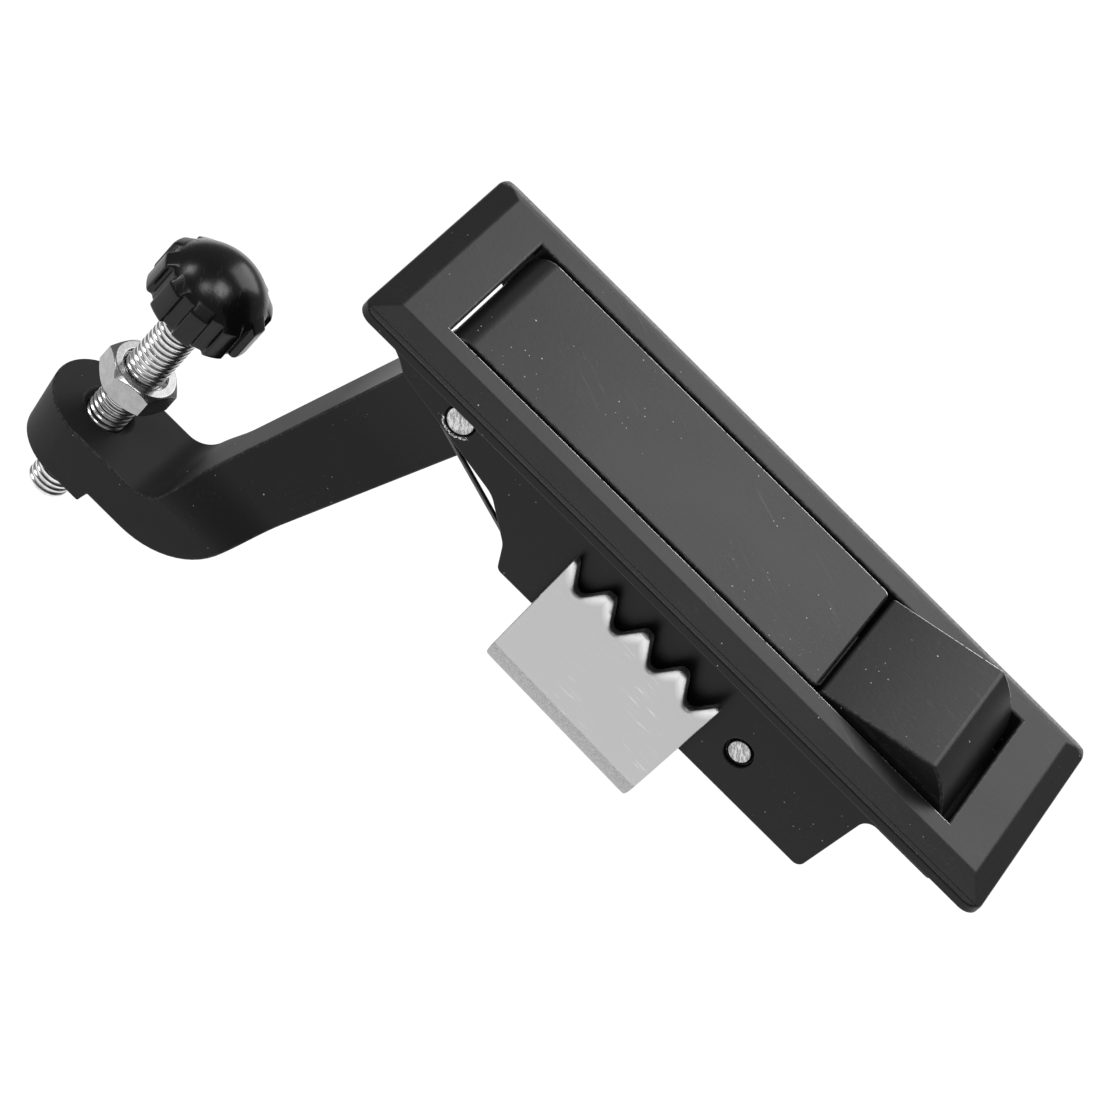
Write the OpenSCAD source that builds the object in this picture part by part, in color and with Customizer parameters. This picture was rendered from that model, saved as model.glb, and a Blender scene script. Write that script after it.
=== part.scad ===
// Flush lever latch with push-button release and an adjustable bumper arm.
// Millimetres. Origin: centre of the flange's back plane, which lies on the panel's front face.
// +X runs along the flange towards the release button, +Z out of the panel, the arm hangs below.

/* [Flange] */
// Length of the flange
plate_len = 142; // [136:1:160]
// Width of the flange
plate_wid = 57.2; // [52:0.2:70]
// Height of the flange's rim above the panel
rim_h = 1.8; // [1:0.1:3]
// Height of the flange's flat face above the panel
face_h = 3.8; // [3.2:0.1:5]
// Width of the bevel at the two short ends
bevel_x = 4.5; // [2:0.1:6]
// Width of the bevel along the two long sides
bevel_y = 5.5; // [2:0.1:7]
// Corner radius of the flange
plate_r = 3; // [1:0.2:6]

/* [Housing] */
// Length of the opening in the flange
open_len = 116; // [110:0.5:120]
// Width of the opening in the flange
open_wid = 36.9; // [34:0.1:42]
// Thickness of the housing's side walls
wall_t = 2.05; // [1.6:0.05:3]
// Thickness of the housing's end walls
end_wall_t = 1.8; // [1.4:0.1:3]
// Room behind the opening's ends for the swing of the button
end_room = 3.2; // [2.8:0.1:4]
// Depth of the collar that goes through the panel
collar_d = 6.2; // [5:0.1:7]
// Depth of the housing below the panel's front face
body_d = 23.5; // [22.5:0.1:28]
// Thickness of the housing's floor
floor_t = 2.2; // [1.6:0.1:3]
// Distance from the lever's pivot to the housing's deep part
arm_room = 21.7; // [20.5:0.1:26]
// Distance from the opening's end to the housing's deep part
button_step = 11.1; // [9:0.1:13]

/* [Lever] */
// Distance from the opening's end to the lever's pivot
pivot_in = 11.7; // [11.6:0.1:13]
// Depth of the lever's pivot below the panel's front face
pivot_d = 6.7; // [6:0.1:7.5]
// Diameter of the lever's pin
lever_pin_d = 5; // [4:0.1:6]
// Thickness of the lever's plate
lever_t = 3; // [2:0.1:3.6]
// Radius of the rolled end of the plate, over the arm
roll_r = 4.5; // [3.5:0.1:5]
// Gap between the lever's plate and the sides of the opening
side_gap = 1.1; // [0.8:0.1:2]
// Gap between the lever's plate and the button
lever_gap = 0.9; // [0.7:0.1:1.4]
// Width of the arm
arm_wid = 16; // [12:0.2:20]
// Diameter of the sleeves that the lever's spring winds round
sleeve_d = 9.2; // [8.4:0.1:9.6]

/* [Arm foot] */
// Distance of the bumper screw's axis from the origin
bumper_x = 93; // [88:0.5:98]
// Depth of the foot's upper face
foot_top = 74.5; // [70:0.5:80]
// Thickness of the foot
foot_t = 8.8; // [7:0.1:11]
// Height of the pad under the bumper screw
pad_t = 2.7; // [1:0.1:4]
// Width of the foot, and of its round end
foot_wid = 23.2; // [18:0.2:26]

/* [Bumper] */
// Diameter of the bumper screw
bumper_d = 8; // [6:0.5:8]
// Depth of the bumper screw's lower end
bumper_low = 96.7; // [94:0.1:110]
// Depth of the knob's lower face
knob_low = 44.5; // [43:0.5:52]
// Diameter of the knob over its lobes
knob_d = 22; // [20:0.5:24]
// Number of lobes on the knob
knob_lobes = 10; // [6:1:12]
// Depth of the grooves between the lobes
groove_d = 1.1; // [0.6:0.1:1.6]
// Height of the knob's lobed skirt
skirt_h = 7.6; // [6:0.1:9]
// Radius of the knob's dome
dome_r = 12; // [11.5:0.1:16]
// Width across the flats of the jam nut
nut_af = 13; // [12.5:0.1:14]
// Height of the jam nut
nut_h = 5.4; // [3:0.1:6]
// Depth of the jam nut's lower face
nut_low = 67.3; // [66:0.1:71]

/* [Release button] */
// Length of the opening that the button takes
button_len = 30.4; // [29.5:0.1:32]
// Distance from the button's edge next to the lever to its ridge
ridge_run = 21.8; // [20:0.1:22.4]
// Height of the button's ridge above the panel's front face
ridge_h = 9.2; // [7:0.1:10]
// Radius of the button's rounded end
end_r = 14.3; // [13.5:0.1:15]
// Gap between the button and the sides of the opening
button_gap = 1.1; // [0.6:0.1:2]
// Wall thickness of the button
button_t = 2.2; // [1.6:0.1:2.6]
// Distance of the button's pin behind the button's edge
pin_back = 1.8; // [1.4:0.1:2.2]
// Height of the button's pin above the housing's floor
pin_rise = 6.2; // [5.8:0.1:6.6]
// Diameter of the button's pin
pin_d = 4; // [3:0.1:4.2]
// Reach of the button's hook over the lever's ledge
hook_reach = 1.2; // [0.8:0.1:1.2]
// Depth of the hook's lower face
hook_low = 4.75; // [4:0.05:5]
// Width of the hook and of the ledge it holds
hook_wid = 18; // [10:0.5:20]

/* [Clamp bracket] */
// Length of the bracket along the flange
bracket_len = 35; // [26:0.2:40]
// Place of the bracket's middle along the flange
bracket_x = 1.7; // [-2:0.1:4]
// Thickness of the bracket's sheet
sheet_t = 2.3; // [1.5:0.1:3]
// Depth of the bracket's back
bracket_low = 38.3; // [36:0.1:40]
// Depth of the teeth's tips
teeth_top = 8.7; // [8:0.1:12]
// Number of gaps between the teeth
teeth_gaps = 4; // [2:1:6]
// Depth of the gaps between the teeth
teeth_d = 5.6; // [3:0.1:6]
// Angle by which the loose bracket has turned on its screw
bracket_yaw = 2.2; // [0:0.1:2.4]
// Diameter of the bracket screw
clamp_d = 6; // [5:0.5:6]
// Length of the bracket screw below its head
clamp_len = 25; // [22:0.5:28]

/* [Springs] */
// Wire of the lever's spring
lever_wire = 1; // [0.8:0.05:1.05]
// Turns of the lever's spring, the part turns at its legs counted as one
lever_turns = 4; // [2:1:4]
// Wire of the button's spring
button_wire = 0.9; // [0.6:0.05:1]
// Turns of the button's spring, the part turns at its legs counted as one
button_turns = 7; // [3:1:9]

/* [Hidden] */
$fn = 64;

eps = 0.01;
run_fit = 0.05; // radial clearance of turning and sliding fits
pin_fit = 0.01; // radial clearance of pins that stay put
seat = 0.25; // clearance between faces that seat on each other

casting = "#2b2b2d";
steel = "#b9babc";
gloss = "#121213";
spring_steel = "#4a4b4e";

// Places along the flange, worked out from the opening
open_half = open_len / 2;
pivot_x = pivot_in - open_half;
button_x0 = open_half - button_len;
lever_x1 = button_x0 - lever_gap;
button_pin_x = button_x0 - pin_back;
ridge_x = button_x0 + ridge_run;
body_x0 = pivot_x + arm_room;
body_x1 = open_half - button_step;

// Housing
body_wid = open_wid + 2 * wall_t;
collar_half = open_half + end_room + end_wall_t;
floor_z = floor_t - body_d;
lip_t = 2.8; // thickness of the flange's lip over the swing of lever and button
lip_slope = 1.6;
pin_recess_r = 0.7; // the recess around the button pin is this much wider than the pin
pin_recess_d = 0.9;
lever_recess_r = 0.35;
lever_recess_d = 0.3;

// Lever and its hub
hub_r = pivot_d + face_h;
roll_out = pivot_in - 0.35; // reach of the rolled end past the pivot, just clear of the opening's end
lever_half = open_wid / 2 - side_gap;
hub_half = open_wid / 2 - seat;
arm_lean_out = 16.45; // lean of the arm's outer face
arm_lean_in = 19.82; // lean of the arm's inner face, which makes it taper
arm_out_off = 9.56; // outer face's distance from the pivot
arm_in_off = 8.3; // inner face's distance from the pivot
foot_low = -foot_top - foot_t - pad_t;
foot_draft = 0.12; // narrowing of the foot for each mm down
pad_back = 7.2; // the pad reaches this far from the bumper screw towards the arm
hole_sink = 1.1; // countersink of the bumper screw's hole
hook_x = button_x0 - 3.6;
ledge_x = hook_x + hook_reach;
ledge_t = 2.2;
ledge_z = -hook_low - seat;
web_t = 2.8;
web_x = ledge_x - 3.9 - web_t;
skirt_t = 1.8;
skirt_in = 0.6; // the skirts stand in from the plate's edges
skirt_low = -4.4;

// Button
button_half = open_wid / 2 - button_gap;
button_pin_z = floor_z + pin_rise;
end_c = [ridge_x - 5.7, ridge_h - 13.2];
ridge_angle = 66; // angle of the ridge on the round end
hook_tip = 1.6;
end_low = 19; // angle at which the round end stops, above the closed pocket behind it
lug_t = 3;
lug_r = 4.4;
toe_x = button_pin_x - 6;

// Bumper
knob_core_r = knob_d / 2 - groove_d;
dome_c = skirt_h - knob_low - sqrt(dome_r * dome_r - knob_core_r * knob_core_r);
lobe_half = 1.9;
lobe_turn = 0.8; // share of a lobe by which the knob has turned
insert_r = 5.5;
insert_h = 8;
nut_turn = 10.5; // one corner of the nut points to the near side

// Jam nut and screws
nut_sink = 0.6;
screw_chamfer = 0.9;
clamp_chamfer = 0.8;

// Bracket and its screw
bracket_in = body_wid / 2 + 1;
bracket_out = bracket_in + sheet_t;
bend_r = 5.5;
bracket_taper = 0.5;
tooth_tip = 0.8;
tooth_pitch = bracket_len / teeth_gaps;
clamp_boss_r = clamp_d / 2 + 3.2;
clamp_boss_top = -12;
washer_t = 1.6;
washer_r = clamp_d;
clamp_head_h = 4;
clamp_head_af = 10;
clamp_head_z = -bracket_low - seat - washer_t;

// Springs
lever_coil_r = sleeve_d / 2 + 0.3 + lever_wire / 2;
lever_coil_y0 = -hub_half - 0.05 + lever_wire / 2;
lever_coil_pitch = lever_wire + 0.15;
button_coil_r = pin_d / 2 + 0.6 + button_wire / 2;
button_coil_pitch = button_wire + 0.15;
button_coil_y0 = -button_coil_pitch * (button_turns - 0.7) / 2;
leg_seat = 0.1; // clearance between a spring's leg and the face it bears on
lever_leg_foot = 1.6; // the lever spring's foot stands this far in on the housing's floor
lever_leg_tip = 17; // reach of the lever spring's tip under the plate
button_leg_foot = 15; // reach of the button spring's foot along the floor
button_leg_tip = 12; // reach of the button spring's tip under the button

// Points of an arc, from angle a0 to a1
function arc(c, r, a0, a1, n) = [
    for (i = [0:n])
        let (a = a0 + (a1 - a0) * i / n)
            c + r * [cos(a), sin(a)]
];

// Unit vector
function unit(v) = v / norm(v);

// Replaces the corner at b, between a and c, by an arc of radius r
function rounded_corner(a, b, c, r, n) =
    let (u = unit(a - b), v = unit(c - b), half = acos(u * v) / 2, m = unit(u + v), o = b + m * r / sin(half))
    let (p = b + u * r / tan(half), q = b + v * r / tan(half))
    let (a0 = atan2(p[1] - o[1], p[0] - o[0]), a1 = atan2(q[1] - o[1], q[0] - o[0]))
    let (turn = a1 - a0 > 180 ? a1 - a0 - 360 : a1 - a0 < -180 ? a1 - a0 + 360 : a1 - a0)
    arc(o, r, a0, a0 + turn, n);

// Outline of [x, y, radius] corners with each corner rounded
function rounded(p, n = 8) = [
    for (i = [0:len(p) - 1])
        let (a = p[(i + len(p) - 1) % len(p)], b = p[i], c = p[(i + 1) % len(p)])
            each (b[2] > 0
                ? rounded_corner([a[0], a[1]], [b[0], b[1]], [c[0], c[1]], b[2], n)
                : [[b[0], b[1]]])
];

// Extrudes an outline drawn in X and Z across the width, from y0 to y1
module across(outline, y0, y1) {
    translate([0, y1, 0]) rotate([90, 0, 0]) linear_extrude(height = y1 - y0) polygon(outline);
}

// Extrudes an outline drawn in Y and Z along the length, from x0 to x1
module along(outline, x0, x1) {
    translate([x0, 0, 0]) rotate([90, 0, 90]) linear_extrude(height = x1 - x0) polygon(outline);
}

// Round bar or bore across the width
module cross_bar(x, z, r, y0, y1) {
    translate([x, y1, z]) rotate([90, 0, 0]) cylinder(r = r, h = y1 - y0);
}

// Round tube swept along a path that never runs along Y, capped at both ends
module wire(path, r, sides = 8) {
    n = len(path);
    tangents = [for (i = [0:n - 1]) unit(path[min(i + 1, n - 1)] - path[max(i - 1, 0)])];
    rings = [
        for (i = [0:n - 1])
            let (u = unit(cross(tangents[i], [0, 1, 0])), v = cross(u, tangents[i]))
                for (j = [0:sides - 1]) path[i] + r * (u * cos(360 * j / sides) + v * sin(360 * j / sides))
    ];
    walls = [
        for (i = [0:n - 2])
            for (j = [0:sides - 1])
                let (k = (j + 1) % sides)
                    [i * sides + j, i * sides + k, (i + 1) * sides + k, (i + 1) * sides + j]
    ];
    first = [for (j = [0:sides - 1]) sides - 1 - j];
    last = [for (j = [0:sides - 1]) (n - 1) * sides + j];
    polyhedron(points = rings, faces = concat([first], walls, [last]));
}

// Angle at which the line from p touches the circle of radius r about the origin
function touch(p, r, side) = atan2(p[1], p[0]) + side * acos(r / norm(p));

// Path of a torsion spring round the axis at (x, z): from the foot p0, round the coil, to the tip p1
function spring_path(x, z, y0, pitch, r, p0, p1, turns, steps = 20) =
    let (a0 = touch(p0 - [x, z], r, -1), sweep = touch(p1 - [x, z], r, 1) - a0 - 360 * turns)
    let (n = round(-sweep / 360 * steps), y1 = y0 - pitch * sweep / 360)
    concat(
        [[p0[0], y0, p0[1]]],
        [
            for (i = [0:n])
                let (a = a0 + sweep * i / n)
                    [x + r * cos(a), y0 + (y1 - y0) * i / n, z + r * sin(a)]
        ],
        [[p1[0], y1, p1[1]]]
    );

// Side view of the housing: shallow collar at both ends, deep box in the middle
function housing_side() = rounded([
    [-collar_half, 0, 0],
    [-collar_half, -collar_d + 0.6, 1],
    [-collar_half + 2.4, -collar_d - 0.6, 2],
    [-open_half - 0.7, -pivot_d - 1.6, 3],
    [body_x0 - 9.4, -body_d + 10.3, 6],
    [body_x0 - 2.3, -body_d + 4.6, 4],
    [body_x0, -body_d, 1.4],
    [body_x1, -body_d, 1.6],
    [body_x1 + 1.6, -collar_d, 2.4],
    [collar_half, -collar_d, 1],
    [collar_half, 0, 0]
]);

// Side view of the space inside: open at the back for the arm, closed behind the button
function cavity_side() =
    let (wide = open_half + end_room, lip = face_h - lip_t, pocket = end_wall_t - 0.4 - collar_d)
    let (floor_x0 = body_x0 + 0.5, floor_x1 = body_x1 - end_wall_t, below = -body_d - 1)
    [
        [-open_half, face_h + 1], [-open_half, lip], [-wide, lip - lip_slope], [-wide, below],
        [floor_x0, below], [floor_x0, floor_z], [floor_x1, floor_z], [floor_x1, pocket], [wide, pocket],
        [wide, lip - lip_slope], [open_half, lip], [open_half, face_h + 1]
    ];

// Bevelled flange, solid
module flange() {
    half_x = plate_len / 2;
    half_y = plate_wid / 2;
    ends = [[-half_x, 0], [half_x, 0], [half_x, rim_h], [half_x - bevel_x, face_h],
            [-half_x + bevel_x, face_h], [-half_x, rim_h]];
    sides = [[-half_y, 0], [half_y, 0], [half_y, rim_h], [half_y - bevel_y, face_h],
             [-half_y + bevel_y, face_h], [-half_y, rim_h]];
    corners = rounded([[-half_x, -half_y, plate_r], [half_x, -half_y, plate_r], [half_x, half_y, plate_r],
                       [-half_x, half_y, plate_r]]);
    intersection() {
        across(ends, -half_y, half_y);
        along(sides, -half_x, half_x);
        linear_extrude(height = face_h) polygon(corners);
    }
}

// Die-cast housing with its flange, collar, side walls, floor and screw boss
module housing() {
    half = body_wid / 2;
    color(casting) difference() {
        union() {
            flange();
            across(housing_side(), -half, half);
        }
        difference() {
            across(cavity_side(), -open_wid / 2, open_wid / 2);
            translate([bracket_x, 0, floor_z - eps]) cylinder(r = clamp_boss_r, h = clamp_boss_top - floor_z);
        }
        translate([bracket_x, 0, -body_d - 1]) cylinder(r = clamp_d / 2 + run_fit, h = body_d);
        cross_bar(pivot_x, -pivot_d, lever_pin_d / 2 + pin_fit, -half - 1, half + 1);
        cross_bar(button_pin_x, button_pin_z, pin_d / 2 + pin_fit, -half - 1, half + 1);
        for (side = [-half, half]) translate([0, side, 0]) {
            cross_bar(button_pin_x, button_pin_z, pin_d / 2 + pin_recess_r, -pin_recess_d, pin_recess_d);
            cross_bar(pivot_x, -pivot_d, lever_pin_d / 2 + lever_recess_r, -lever_recess_d, lever_recess_d);
        }
    }
}

// Pin that the lever turns on, flush with the housing's sides
module lever_pin() {
    half = body_wid / 2;
    color(steel) cross_bar(pivot_x, -pivot_d, lever_pin_d / 2, -half, half);
}

// Pin that the button turns on, its ends sunk in their recesses
module button_pin() {
    half = body_wid / 2 - 0.4;
    color(steel) cross_bar(button_pin_x, button_pin_z, pin_d / 2, -half, half);
}

// Plate of the lever with its end rolled down over the arm, seen from the side
function lever_plate_side() =
    let (end_x = pivot_x - roll_out, low = -pivot_d - 3)
    rounded([
        [end_x, low, 1], [end_x, face_h, roll_r], [lever_x1, face_h, 0.6], [lever_x1, face_h - lever_t, 0],
        [end_x + lever_t, face_h - lever_t, roll_r - 1.5], [end_x + lever_t, low, 1]
    ]);

// Plate of the lever seen from the front, with round corners next to the button
function lever_plate_front() = rounded([
    [pivot_x - roll_out - 1, -lever_half, 0], [lever_x1, -lever_half, 1.4], [lever_x1, lever_half, 1.4],
    [pivot_x - roll_out - 1, lever_half, 0]
]);

// Point on a face of the arm that leans by a and passes the pivot at distance off, at depth d
function arm_face(a, off, d) = [pivot_x + off / cos(a) - (d - pivot_d) * tan(a), -d];

// Side view of the arm and its foot
function arm_side() =
    let (o = arm_face(arm_lean_out, -arm_out_off, pivot_d), i = arm_face(arm_lean_in, arm_in_off, pivot_d))
    let (corner_out = arm_face(arm_lean_out, -arm_out_off, foot_top))
    let (corner_in = arm_face(arm_lean_in, arm_in_off, foot_top + foot_t))
    let (end_x = -bumper_x - foot_wid / 2, pad_x = -bumper_x + pad_back)
    rounded([
        [o[0], o[1], 0], [corner_out[0], corner_out[1], 5.5], [end_x, -foot_top, 0],
        [end_x, foot_low, 3], [pad_x, foot_low, 0.5],
        [pad_x + 0.6, -foot_top - foot_t, 0], [corner_in[0], corner_in[1], 17], [i[0], i[1], 0]
    ], 12);

// Front view of the arm, which flares out to the width of the foot
function arm_flare() =
    let (d0 = foot_top - 15, d1 = foot_top - 3, n = 10, widening = (foot_wid - arm_wid) / 4)
    let (low_half = foot_wid / 2 + (foot_low + foot_top) * foot_draft)
    let (edge = [for (i = [0:n]) [arm_wid / 2 + widening * (1 - cos(180 * i / n)), -d0 - (d1 - d0) * i / n]])
    concat(
        [[arm_wid / 2, hub_r]], edge, [[low_half, foot_low]], [[-low_half, foot_low]],
        [for (i = [n:-1:0]) [-edge[i][0], edge[i][1]]], [[-arm_wid / 2, hub_r]]
    );

// Space the arm may fill: its foot ends in a cone about the bumper screw
module arm_limits() {
    deep = foot_t + pad_t;
    foot_r = foot_wid / 2;
    translate([-bumper_x, 0, foot_low]) cylinder(r1 = foot_r - deep * foot_draft, r2 = foot_r, h = deep);
    translate([-bumper_x, -foot_wid, foot_low - 1])
        cube([bumper_x + pivot_x + hub_r, 2 * foot_wid, hub_r - foot_low]);
}

// Ledge under the lever's end that the button's hook holds down
function ledge_side() = [
    [web_x, face_h - lever_t + eps], [web_x, ledge_z - ledge_t], [ledge_x - 2.4, ledge_z - ledge_t],
    [ledge_x, ledge_z - 0.8], [ledge_x, ledge_z], [web_x + web_t, ledge_z],
    [web_x + web_t, face_h - lever_t + eps]
];

// Stiffening skirt under each long edge of the plate
function skirt_side() = [
    [pivot_x + 16, face_h - lever_t + eps], [pivot_x + 19, skirt_low], [web_x - 8, skirt_low], [web_x, -2.6],
    [web_x, face_h - lever_t + eps]
];

// Die-cast lever: plate, hub, arm and foot
module lever() {
    color(casting) difference() {
        union() {
            intersection() {
                across(lever_plate_side(), -lever_half, lever_half);
                translate([0, 0, -pivot_d - hub_r]) linear_extrude(height = 2 * hub_r + 1)
                    polygon(lever_plate_front());
            }
            for (side = [0, 1]) mirror([0, side, 0])
                across(skirt_side(), lever_half - skirt_t - skirt_in, lever_half - skirt_in);
            across(skirt_side(), -skirt_t / 2, skirt_t / 2);
            across(ledge_side(), -hook_wid / 2, hook_wid / 2);
            cross_bar(pivot_x, -pivot_d, sleeve_d / 2, -hub_half, hub_half);
            cross_bar(pivot_x, -pivot_d, hub_r - eps, -arm_wid / 2, arm_wid / 2);
            intersection() {
                across(arm_side(), -foot_wid, foot_wid);
                along(arm_flare(), -bumper_x - foot_wid, pivot_x + hub_r);
                arm_limits();
            }
        }
        cross_bar(pivot_x, -pivot_d, lever_pin_d / 2 + run_fit, -open_wid, open_wid);
        translate([-bumper_x, 0, foot_low - 1]) cylinder(r = bumper_d / 2 + run_fit, h = foot_t + pad_t + 2);
        translate([-bumper_x, 0, -foot_top - hole_sink])
            cylinder(r1 = bumper_d / 2, r2 = bumper_d / 2 + hole_sink + eps, h = hole_sink + eps);
    }
}

// Torsion spring on the lever's near sleeve, from the housing's floor to the underside of the plate
module lever_spring() {
    wire_r = lever_wire / 2;
    foot = [body_x0 + lever_leg_foot, floor_z + wire_r + leg_seat];
    tip = [pivot_x + lever_leg_tip, face_h - lever_t - wire_r - leg_seat];
    color(spring_steel) wire(
        spring_path(pivot_x, -pivot_d, lever_coil_y0, lever_coil_pitch, lever_coil_r, foot, tip, lever_turns),
        wire_r
    );
}

// Side view of the button: flat top, ridge, rounded end
function button_side() = concat(
    [[button_x0, -hook_low]],
    rounded_corner([button_x0, -2], [button_x0, face_h], [ridge_x, ridge_h], 0.7, 5),
    arc(end_c, end_r, ridge_angle, end_low, 14),
    [[button_x0 + button_t + 4, -1.6], [button_x0 + button_t, -hook_low]]
);

// Height of the underside of the button's top at x
function button_under(x) = face_h + (x - button_x0) * (ridge_h - face_h) / (ridge_x - button_x0) - button_t;

// Side view of the space inside the button, open below
function button_hollow() = concat(
    [[button_x0 + button_t, -hook_low - 1], [button_x0 + button_t, button_under(button_x0 + button_t)]],
    arc(end_c, end_r - button_t, ridge_angle + 2, end_low - 20, 10)
);

// Lug that carries the button on its pin, with the toe that stops it on the floor
module button_lug() {
    stem = [[button_x0, -1], [button_x0, 1], [button_x0 + 8, button_under(button_x0 + 8) + 1],
            [button_pin_x + lug_r, button_pin_z], [button_pin_x - lug_r, button_pin_z]];
    toe = [[toe_x, button_pin_z], [toe_x, floor_z + seat], [button_pin_x - 2, floor_z + seat],
           [button_pin_x, button_pin_z]];
    across(stem, button_half - lug_t, button_half);
    across(toe, button_half - lug_t, button_half);
    cross_bar(button_pin_x, button_pin_z, lug_r, button_half - lug_t, button_half);
}

// Wedge-shaped release button with its hook
module release_button() {
    inner = button_x0 + button_t;
    hook = [[hook_x, -hook_low], [hook_x, -hook_low + hook_tip], [hook_x + hook_tip, -hook_tip],
            [inner, -hook_tip], [inner, -hook_low]];
    color(casting) difference() {
        union() {
            difference() {
                across(button_side(), -button_half, button_half);
                across(button_hollow(), -button_half + button_t, button_half - button_t);
            }
            across(hook, -hook_wid / 2, hook_wid / 2);
            for (side = [0, 1]) mirror([0, side, 0]) button_lug();
        }
        cross_bar(button_pin_x, button_pin_z, pin_d / 2 + run_fit, -open_wid, open_wid);
    }
}

// Torsion spring round the button's pin, from the floor to the underside of the button
module button_spring() {
    wire_r = button_wire / 2;
    tip_x = button_x0 + button_leg_tip;
    foot = [button_pin_x + button_leg_foot, floor_z + wire_r + leg_seat];
    tip = [tip_x, button_under(tip_x) - wire_r - 2 * leg_seat];
    color(spring_steel) wire(
        spring_path(button_pin_x, button_pin_z, button_coil_y0, button_coil_pitch, button_coil_r, foot, tip,
                    button_turns),
        wire_r
    );
}

// Outline of one side of the bracket, a little narrower at its back, with its row of teeth
function bracket_side() =
    let (half = bracket_len / 2, low_half = half - bracket_taper, root_z = -teeth_top - teeth_d - 0.6)
    rounded(concat(
        [[-low_half, -bracket_low, 0], [-half, -teeth_top, 0.3]],
        [
            for (i = [0:teeth_gaps - 1])
                let (x0 = -half + i * tooth_pitch, x1 = x0 + tooth_pitch)
                    each [
                        [x0 + tooth_tip, -teeth_top, tooth_tip],
                        [(x0 + x1) / 2, root_z, 1.3],
                        [x1 - tooth_tip, -teeth_top, tooth_tip]
                    ]
        ],
        [[half, -teeth_top, 0.3], [low_half, -bracket_low, 0]]
    ), 5);

// Section of the bracket: a U with round bends
function bracket_section(y, z, r) = rounded([[-y, 0, 0], [-y, z, r], [y, z, r], [y, 0, 0]], 10);

// Toothed clamp bracket, turned a little on its screw because it isn't tightened yet
module clamp_bracket() {
    half = bracket_len / 2;
    low = -bracket_low;
    color(steel) translate([bracket_x, 0, 0]) rotate([0, 0, -bracket_yaw]) difference() {
        intersection() {
            difference() {
                along(bracket_section(bracket_out, low, bend_r), -half, half);
                along(bracket_section(bracket_in, low + sheet_t, bend_r - sheet_t), -half - 1, half + 1);
            }
            across(bracket_side(), -bracket_out - 1, bracket_out + 1);
        }
        translate([0, 0, low - 1]) cylinder(r = clamp_d / 2 + 0.4, h = sheet_t + 2);
    }
}

// Hex bar with both ends chamfered, from z0 up
module hex_bar(af, z0, h, chamfer) {
    r = af / 2 / cos(30);
    intersection() {
        translate([0, 0, z0]) cylinder(r = r, h = h, $fn = 6);
        rotate_extrude() polygon([[0, z0], [af / 2 - 0.3, z0], [r, z0 + chamfer], [r, z0 + h - chamfer],
                                  [af / 2 - 0.3, z0 + h], [0, z0 + h]]);
    }
}

// Hex-head screw that draws the bracket up
module bracket_screw() {
    r = clamp_d / 2;
    tip = clamp_head_z + clamp_len;
    color(steel) translate([bracket_x, 0, 0]) {
        hex_bar(clamp_head_af, clamp_head_z - clamp_head_h, clamp_head_h, 0.7);
        rotate_extrude() polygon([[0, clamp_head_z - eps], [r, clamp_head_z - eps], [r, tip - clamp_chamfer],
                                  [r - clamp_chamfer, tip], [0, tip]]);
    }
}

// Flat washer under the screw's head
module bracket_washer() {
    color(steel) translate([bracket_x, 0, clamp_head_z + 0.02]) difference() {
        cylinder(r = washer_r, h = washer_t - 0.02);
        translate([0, 0, -1]) cylinder(r = clamp_d / 2 + 0.2, h = washer_t + 2);
    }
}

// Threaded rod through the arm's foot
module bumper_screw() {
    r = bumper_d / 2;
    low = -bumper_low;
    top = insert_h - knob_low - 0.5;
    tip_r = r - screw_chamfer;
    color(steel) translate([-bumper_x, 0, 0])
        rotate_extrude() polygon([[0, low], [tip_r, low], [r, low + screw_chamfer], [r, top - screw_chamfer],
                                  [tip_r, top], [0, top]]);
}

// Thin nut that locks the bumper screw
module jam_nut() {
    low = -nut_low;
    top = low + nut_h;
    bore_r = bumper_d / 2 + run_fit;
    wide_r = bore_r + nut_sink;
    color(steel) translate([-bumper_x, 0, 0]) rotate([0, 0, nut_turn]) difference() {
        hex_bar(nut_af, low, nut_h, 0.9);
        rotate_extrude() polygon([[0, low - eps], [wide_r, low - eps], [bore_r, low + nut_sink],
                                  [bore_r, top - nut_sink], [wide_r, top + eps], [0, top + eps]]);
    }
}

// Domed knob with a lobed skirt
module bumper_knob() {
    low = -knob_low;
    top = low + skirt_h;
    rim = atan2(top - dome_c, knob_core_r);
    core = concat(
        [[0, low], [knob_core_r - 0.4, low], [knob_core_r, low + 0.4]],
        arc([0, dome_c], dome_r, rim, 90, 14)
    );
    lobe_r = knob_d / 2;
    lobe_top = top + 0.9;
    lobes = [[0, low], [lobe_r - 0.5, low], [lobe_r, low + 0.5], [lobe_r, lobe_top - 1.5],
             [knob_core_r - 0.6, lobe_top], [0, lobe_top]];
    step = 360 / knob_lobes;
    color(gloss) translate([-bumper_x, 0, 0]) difference() {
        union() {
            rotate_extrude() polygon(core);
            intersection() {
                rotate_extrude() polygon(lobes);
                for (i = [0:knob_lobes - 1])
                    rotate([0, 0, (i + lobe_turn) * step])
                        translate([1, -lobe_half, low]) cube([knob_d, 2 * lobe_half, skirt_h + 2]);
            }
        }
        translate([0, 0, low - 1]) cylinder(r = insert_r + pin_fit, h = insert_h + 1 + pin_fit);
    }
}

// Threaded metal bush moulded into the knob
module knob_insert() {
    color(steel) translate([-bumper_x, 0, -knob_low]) difference() {
        cylinder(r = insert_r, h = insert_h);
        translate([0, 0, -1]) cylinder(r = bumper_d / 2 + run_fit, h = insert_h + 2);
    }
}

housing();
lever();
lever_pin();
lever_spring();
release_button();
button_pin();
button_spring();
clamp_bracket();
bracket_screw();
bracket_washer();
bumper_screw();
jam_nut();
bumper_knob();
knob_insert();
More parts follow.
